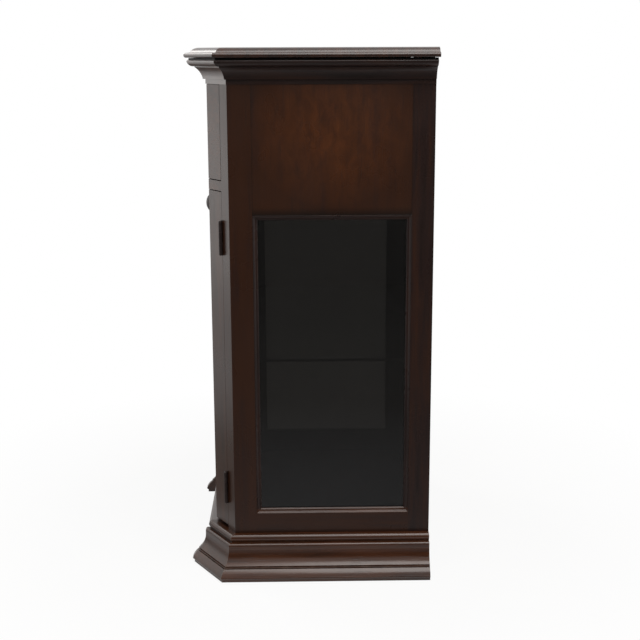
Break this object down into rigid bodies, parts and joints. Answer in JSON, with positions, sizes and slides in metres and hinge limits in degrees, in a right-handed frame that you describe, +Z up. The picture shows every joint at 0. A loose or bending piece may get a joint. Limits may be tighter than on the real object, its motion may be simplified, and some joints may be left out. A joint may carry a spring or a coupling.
{
  "type": "jewelry armoire",
  "caption": "Tall jewelry armoire with canted front corners, moulded base and crown, lift-up lid with mirror, drawer, and glazed doors and sides round a display space.",
  "frame": {"origin": "on the floor, under the middle of the bounding box", "axes": "+Z up, the front with drawer and doors faces -Y, +X to the right of someone facing the front"},
  "size_m": [0.6168, 0.4779, 1.0185],
  "materials": {
    "mahogany": "satin lacquer",
    "inner_wood": "thin varnish",
    "smoked_glass": "polished",
    "dark_bronze": "aged, dark",
    "velvet": "short pile",
    "mirror": "silvered glass"
  },
  "bodies": {
    "case": {"back_panel": "inner_wood", "back_top_rail": "mahogany", "base_apron": "mahogany", "base_back_rail": "mahogany", "base_corner_feet": "mahogany", "base_sides": "mahogany", "bottom_board": "inner_wood", "case_hinge_leaves": "dark_bronze", "corner_post_left": "mahogany", "corner_post_right": "mahogany", "crown_corners": "mahogany", "crown_front": "mahogany", "crown_sides": "mahogany", "door_stop": "inner_wood", "drawer_runners": "inner_wood", "dust_board": "mahogany", "frieze": "mahogany", "glass_shelf": "smoked_glass", "hinge_pins": "dark_bronze", "hinge_screws": "dark_bronze", "lid_hinge_case_leaves": "dark_bronze", "rear_stiles": "mahogany", "ring_rolls": "velvet", "shelf_pins": "dark_bronze", "side_beads_left": "mahogany", "side_beads_right": "mahogany", "side_bottom_rails": "mahogany", "side_glass_left": "smoked_glass", "side_glass_right": "smoked_glass", "side_panel_left": "mahogany", "side_panel_right": "mahogany", "well_dividers": "mahogany", "well_floor": "inner_wood"},
    "lid": {"lid": "mahogany", "mirror": "mirror", "mirror_frame": "mahogany", "lid_hinge_leaves": "dark_bronze"},
    "drawer": {"drawer_front": "mahogany", "drawer_sides": "inner_wood", "drawer_back": "inner_wood", "drawer_bottom": "inner_wood", "drawer_knob": "dark_bronze"},
    "door_right": {"door_beads_right": "mahogany", "door_glass_right": "smoked_glass", "door_hinge_leaves_right": "dark_bronze", "door_hinge_screws_right": "dark_bronze", "door_knob_right": "dark_bronze", "door_meeting_stile_right": "mahogany", "door_rails_right": "mahogany", "door_stile_right": "mahogany"},
    "door_left": {"door_beads_left": "mahogany", "door_glass_left": "smoked_glass", "door_hinge_leaves_left": "dark_bronze", "door_hinge_screws_left": "dark_bronze", "door_knob_left": "dark_bronze", "door_meeting_stile_left": "mahogany", "door_rails_left": "mahogany", "door_stile_left": "mahogany"}
  },
  "joints": [
    {"name": "lid_hinge", "type": "hinge", "parent": "case", "child": "lid", "pos_m": [0, 0.23625, 0.9995], "axis": [-1, 0, 0], "range_deg": [0, 95]},
    {"name": "drawer_slide", "type": "slide", "parent": "case", "child": "drawer", "axis": [0, -1, 0], "range_m": [0, 0.25]},
    {"name": "door_right_hinge", "type": "hinge", "parent": "case", "child": "door_right", "pos_m": [0.23785, -0.16687, 0.4], "axis": [0, 0, 1], "range_deg": [0, 115]},
    {"name": "door_left_hinge", "type": "hinge", "parent": "case", "child": "door_left", "pos_m": [-0.23785, -0.16687, 0.4], "axis": [0, 0, -1], "range_deg": [0, 115]}
  ]
}
